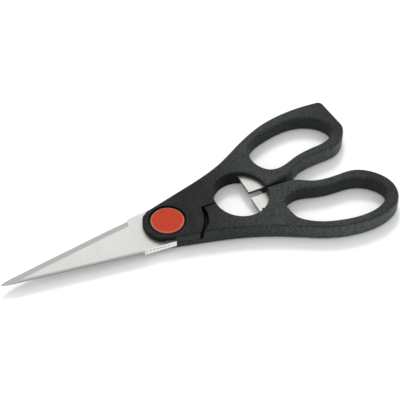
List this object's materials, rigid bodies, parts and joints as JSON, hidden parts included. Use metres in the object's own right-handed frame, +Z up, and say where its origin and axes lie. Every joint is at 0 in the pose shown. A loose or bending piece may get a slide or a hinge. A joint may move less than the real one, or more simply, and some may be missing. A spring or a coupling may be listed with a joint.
{
  "type": "kitchen shears",
  "caption": "Kitchen shears with pointed steel blades, a thumb ring and a longer finger ring on moulded handles, a capped pivot and a lid opener between the handles.",
  "frame": {"origin": "on the pivot axis, in the plane that the shut shears rest on", "axes": "+X from the pivot to the rings, +Y towards the thumb ring, +Z up along the pivot axis"},
  "size_m": [0.2081, 0.0896, 0.0092],
  "materials": {
    "blade_steel": "satin",
    "handle_plastic": "fine grain",
    "screw_steel": "turned",
    "cap_plastic": "smooth"
  },
  "bodies": {
    "finger_half": {"finger_blade": "blade_steel", "finger_handle": "handle_plastic", "pivot_screw": "screw_steel", "pivot_nut": "screw_steel", "spring_washer": "screw_steel", "back_cap": "cap_plastic"},
    "thumb_half": {"thumb_blade": "blade_steel", "thumb_handle": "handle_plastic", "front_cap": "cap_plastic"}
  },
  "joints": [
    {"name": "pivot", "type": "hinge", "parent": "finger_half", "child": "thumb_half", "pos_m": [0, 0, 0.0046], "axis": [0, 0, 1], "range_deg": [0, 60]}
  ]
}
